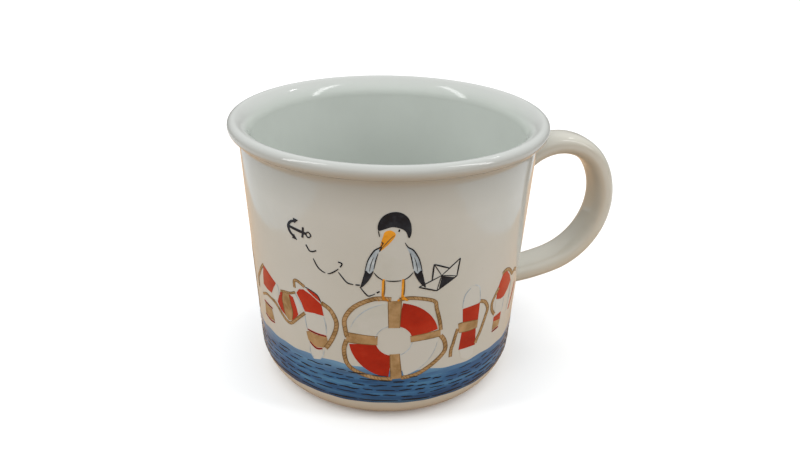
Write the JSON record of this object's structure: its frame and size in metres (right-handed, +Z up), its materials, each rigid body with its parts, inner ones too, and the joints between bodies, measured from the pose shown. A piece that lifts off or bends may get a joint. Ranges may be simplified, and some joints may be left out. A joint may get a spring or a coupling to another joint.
{
  "type": "ceramic mug",
  "caption": "Glazed ceramic mug with a rolled rim, a tapering wall, a bare foot ring and a broad strap handle, decorated with a fired-on seaside print.",
  "frame": {"origin": "centre of the foot ring's flat face, on the cup's axis", "axes": "+Z up the cup's axis to the rim, +X towards the handle, +Y to the left of the handle seen from above with the handle pointing right of the cup"},
  "size_m": [0.1177, 0.09, 0.0791],
  "materials": {
    "bare_clay": "matte",
    "warm_white_glaze": "gloss",
    "cool_white_glaze": "gloss",
    "sea_blue": "gloss",
    "signal_red": "gloss",
    "print_cream": "gloss",
    "rope_tan": "gloss",
    "bill_orange": "gloss",
    "wing_grey": "gloss",
    "ink_navy": "gloss"
  },
  "bodies": {
    "root": {"cup_body": "bare_clay", "handle": "bare_clay", "upper_slip": "bare_clay", "lower_slip": "bare_clay", "outer_glaze": "warm_white_glaze", "handle_glaze": "warm_white_glaze", "inner_glaze": "cool_white_glaze", "sea_print": "sea_blue", "red_print": "signal_red", "cream_print": "print_cream", "tan_print": "rope_tan", "orange_print": "bill_orange", "grey_print": "wing_grey", "navy_print": "ink_navy"}
  },
  "joints": []
}
